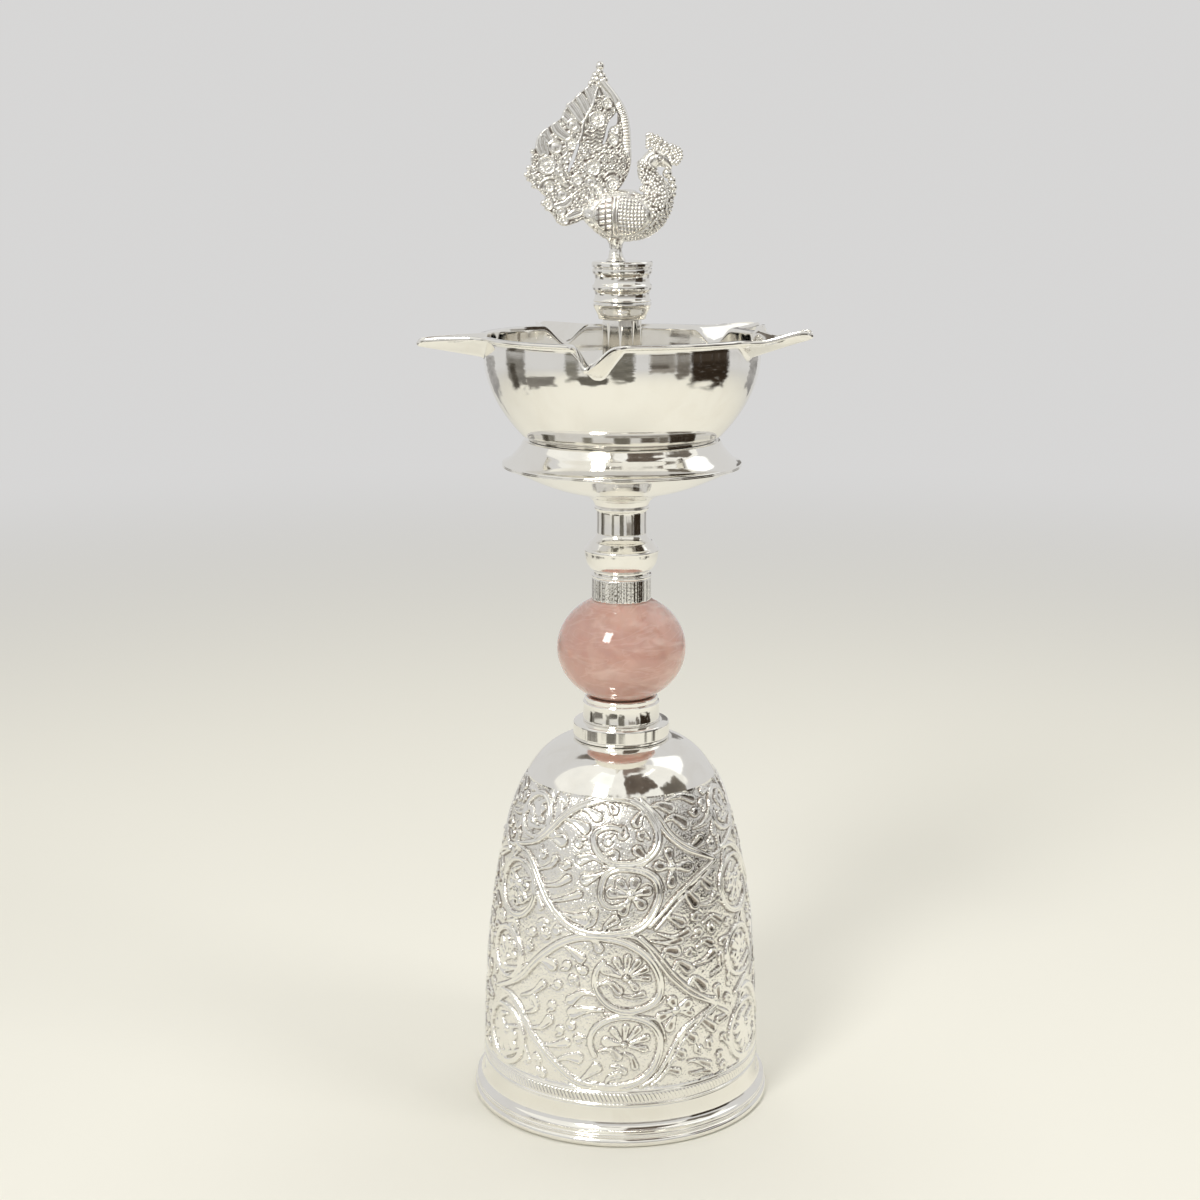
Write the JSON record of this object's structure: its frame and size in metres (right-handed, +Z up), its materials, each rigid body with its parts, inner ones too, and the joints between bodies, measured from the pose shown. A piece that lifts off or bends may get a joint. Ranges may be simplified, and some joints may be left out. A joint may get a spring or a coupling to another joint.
{
  "type": "standing oil lamp",
  "caption": "Standing oil lamp: repoussé bell foot, rose quartz bead in the stem, open oil bowl with pinched wick spouts, and a peacock finial on a screw socket.",
  "frame": {"origin": "on the surface that the foot stands on, under the middle of the bowl's spread from spout tip to spout tip, 3.2 mm in -X and 2.5 mm in -Y from the lamp's own axis", "axes": "+Z up along the stem, -Y towards the viewer and the front spout, +X the way the peacock faces"},
  "size_m": [0.11, 0.1106, 0.3048],
  "materials": {
    "turned_silver": "brass, silver plated and buffed to a mirror",
    "chased_silver": "brass sheet worked in relief, silver plated, bright on the raised parts and stippled on the ground",
    "bowl_silver": "brass sheet, spun and pinched, silver plated and buffed to a mirror",
    "cast_silver": "cast brass with fine beading, silver plated and bright",
    "rose_quartz": "polished rose quartz, milky, with faint level veins",
    "steel": "zinc plated steel, satin",
    "seal_leather": "oiled leather, matt"
  },
  "bodies": {
    "stand": {"foot_ring": "turned_silver", "base_bell": "chased_silver", "base_washer": "steel", "base_nut": "steel", "tie_rod": "steel", "lower_collar": "turned_silver", "bead_seat": "turned_silver", "quartz_bead": "rose_quartz", "reeded_sleeve": "turned_silver", "knop": "turned_silver", "neck": "turned_silver", "drip_saucer": "turned_silver", "drip_skirt": "turned_silver", "inner_spacer": "steel", "oil_bowl": "bowl_silver", "bowl_seal": "seal_leather", "centre_post": "turned_silver"},
    "ferrule": {"socket_ferrule": "turned_silver"},
    "finial": {"finial_socket": "turned_silver", "finial_peg": "cast_silver", "peacock_body": "cast_silver", "peacock_tail": "cast_silver", "peacock_crest": "cast_silver"}
  },
  "joints": [
    {"name": "top_rise", "type": "slide", "parent": "stand", "child": "ferrule", "axis": [0, 0, 1], "range_m": [0, 0.006]},
    {"name": "top_turn", "type": "hinge", "parent": "ferrule", "child": "finial", "pos_m": [0.00315, 0.00253, 0.2386], "axis": [0, 0, 1], "range_deg": [0, 2160]}
  ],
  "couplings": [
    {"joint": "top_rise", "follows": "top_turn", "m_per_rad": 0.00015915}
  ]
}
